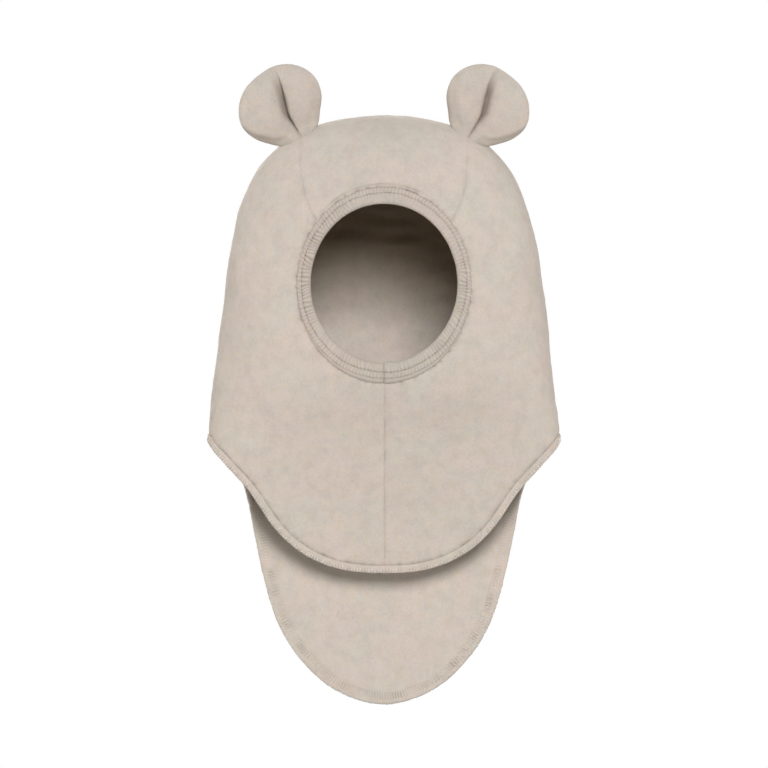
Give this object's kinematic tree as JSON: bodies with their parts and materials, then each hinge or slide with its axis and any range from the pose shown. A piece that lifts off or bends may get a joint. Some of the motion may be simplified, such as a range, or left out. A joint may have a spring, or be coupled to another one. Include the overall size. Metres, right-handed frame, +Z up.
{
  "type": "baby hat with ears",
  "caption": "Soft fleece balaclava hat for a baby: hood with round ribbed face opening, front bib, long neck flap and padded round ears folded at the base.",
  "frame": {"origin": "top of the inside of the crown, where the top of the head touches it", "axes": "+Z up, along the head; -Y is the wearer's front, where the face opening is; +X is the wearer's left"},
  "size_m": [0.2058, 0.1151, 0.3715],
  "materials": {
    "wool_fleece": "brushed melange wool fleece, matte",
    "rib_knit": "fine rib knit, matte"
  },
  "bodies": {
    "root": {"crown_panel": "wool_fleece", "side_panel_left": "wool_fleece", "side_panel_right": "wool_fleece", "face_binding": "rib_knit", "neck_hem": "wool_fleece", "ear_left": "wool_fleece", "ear_right": "wool_fleece"}
  },
  "joints": []
}
